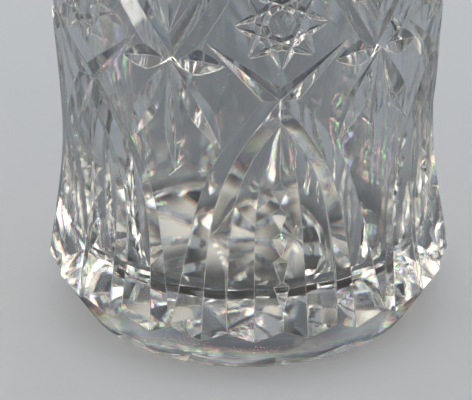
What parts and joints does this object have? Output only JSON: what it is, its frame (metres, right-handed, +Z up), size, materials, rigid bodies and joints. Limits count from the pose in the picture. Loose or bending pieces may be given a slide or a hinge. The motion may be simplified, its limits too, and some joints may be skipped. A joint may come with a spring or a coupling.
{
  "type": "cut crystal vase",
  "caption": "Heavy cut crystal vase with a thick base, waisted wall, mitre-cut flutes, arches, stars and a toothed rim.",
  "frame": {"origin": "centre of the foot's resting plane, on the vase's axis", "axes": "+Z up along the vase's axis; -Y points out through one column of crossings, diamonds and hobstar"},
  "size_m": [0.1532, 0.1534, 0.228],
  "materials": {
    "lead_crystal": "polished clear lead crystal"
  },
  "bodies": {
    "root": {"crystal_body": "lead_crystal"}
  },
  "joints": []
}
